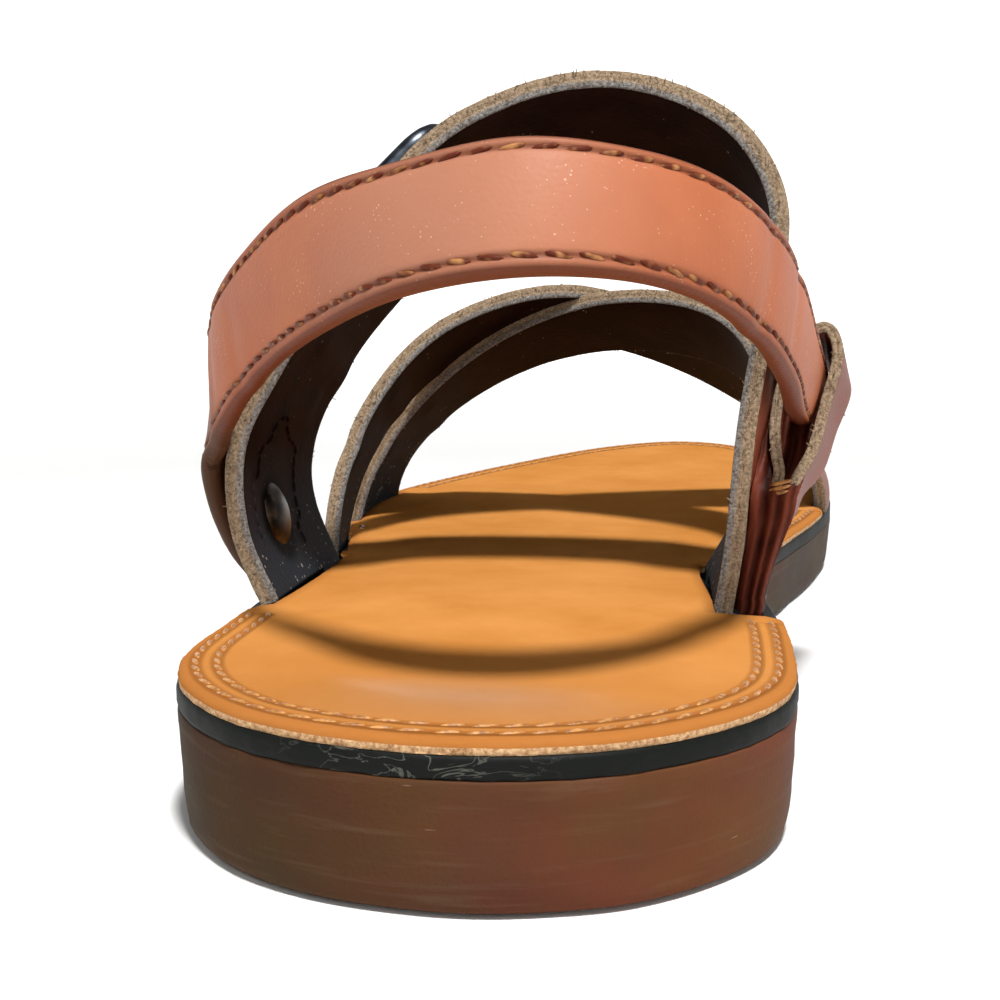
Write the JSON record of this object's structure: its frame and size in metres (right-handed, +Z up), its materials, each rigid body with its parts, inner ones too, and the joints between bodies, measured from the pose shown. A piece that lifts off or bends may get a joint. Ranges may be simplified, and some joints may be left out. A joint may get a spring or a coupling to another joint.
{
  "type": "cross-strap sandal",
  "caption": "Flat left leather sandal with a wide instep strap, joined crossing forefoot straps, a back strap threaded through a side loop, a strap buckle and a layered sole.",
  "frame": {"origin": "middle of the bounding box, on the floor under the sole", "axes": "+Y from heel to toe, +Z up, +X towards the inner side of the foot"},
  "size_m": [0.0934, 0.264, 0.0869],
  "materials": {
    "sole_rubber": "matt brown, scuffed",
    "midsole_rubber": "black, satin",
    "insole_leather": "smooth golden tan",
    "strap_leather": "red-brown with raw edges",
    "heel_strap_leather": "rust brown, soft sheen",
    "dark_metal": "dark gunmetal"
  },
  "bodies": {
    "root": {"outsole": "sole_rubber", "midsole": "midsole_rubber", "insole": "insole_leather", "instep_strap": "strap_leather", "cross_straps": "strap_leather", "heel_strap": "heel_strap_leather", "heel_strap_loop": "strap_leather", "strap_rivet": "dark_metal", "buckle_frame": "dark_metal", "buckle_tab": "strap_leather"}
  },
  "joints": []
}
